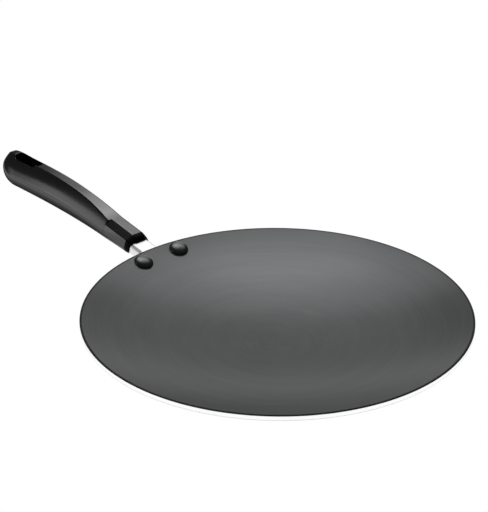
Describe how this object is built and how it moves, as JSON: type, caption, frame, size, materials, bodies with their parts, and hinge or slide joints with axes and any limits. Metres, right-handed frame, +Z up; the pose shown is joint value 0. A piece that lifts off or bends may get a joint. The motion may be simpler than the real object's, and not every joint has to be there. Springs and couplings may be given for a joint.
{
  "type": "concave tawa",
  "caption": "Shallow concave griddle pan with a small flat base and one long moulded handle, for flatbreads and pancakes on a hob.",
  "frame": {"origin": "centre of the pan's flat base, on the surface that the pan stands on", "axes": "+Z up out of the pan, +X along the handle from the pan towards its butt, +Y to the left of the handle seen from the pan"},
  "size_m": [0.4647, 0.28, 0.0494],
  "materials": {
    "pan_coated": "satin dark grey hard-anodised inside, bare turned edge and outside",
    "bracket_polished": "polished stainless sheet",
    "rivet_black": "gloss black",
    "grip_phenolic": "semi-gloss black phenolic moulding",
    "fastener_plated": "bright zinc plated"
  },
  "bodies": {
    "root": {"pan_body": "pan_coated", "handle_bracket": "bracket_polished", "rivet_left": "rivet_black", "rivet_right": "rivet_black", "handle_grip": "grip_phenolic", "bracket_nut": "fastener_plated", "plain_washer": "fastener_plated", "spring_washer": "fastener_plated", "handle_screw": "fastener_plated"}
  },
  "joints": []
}
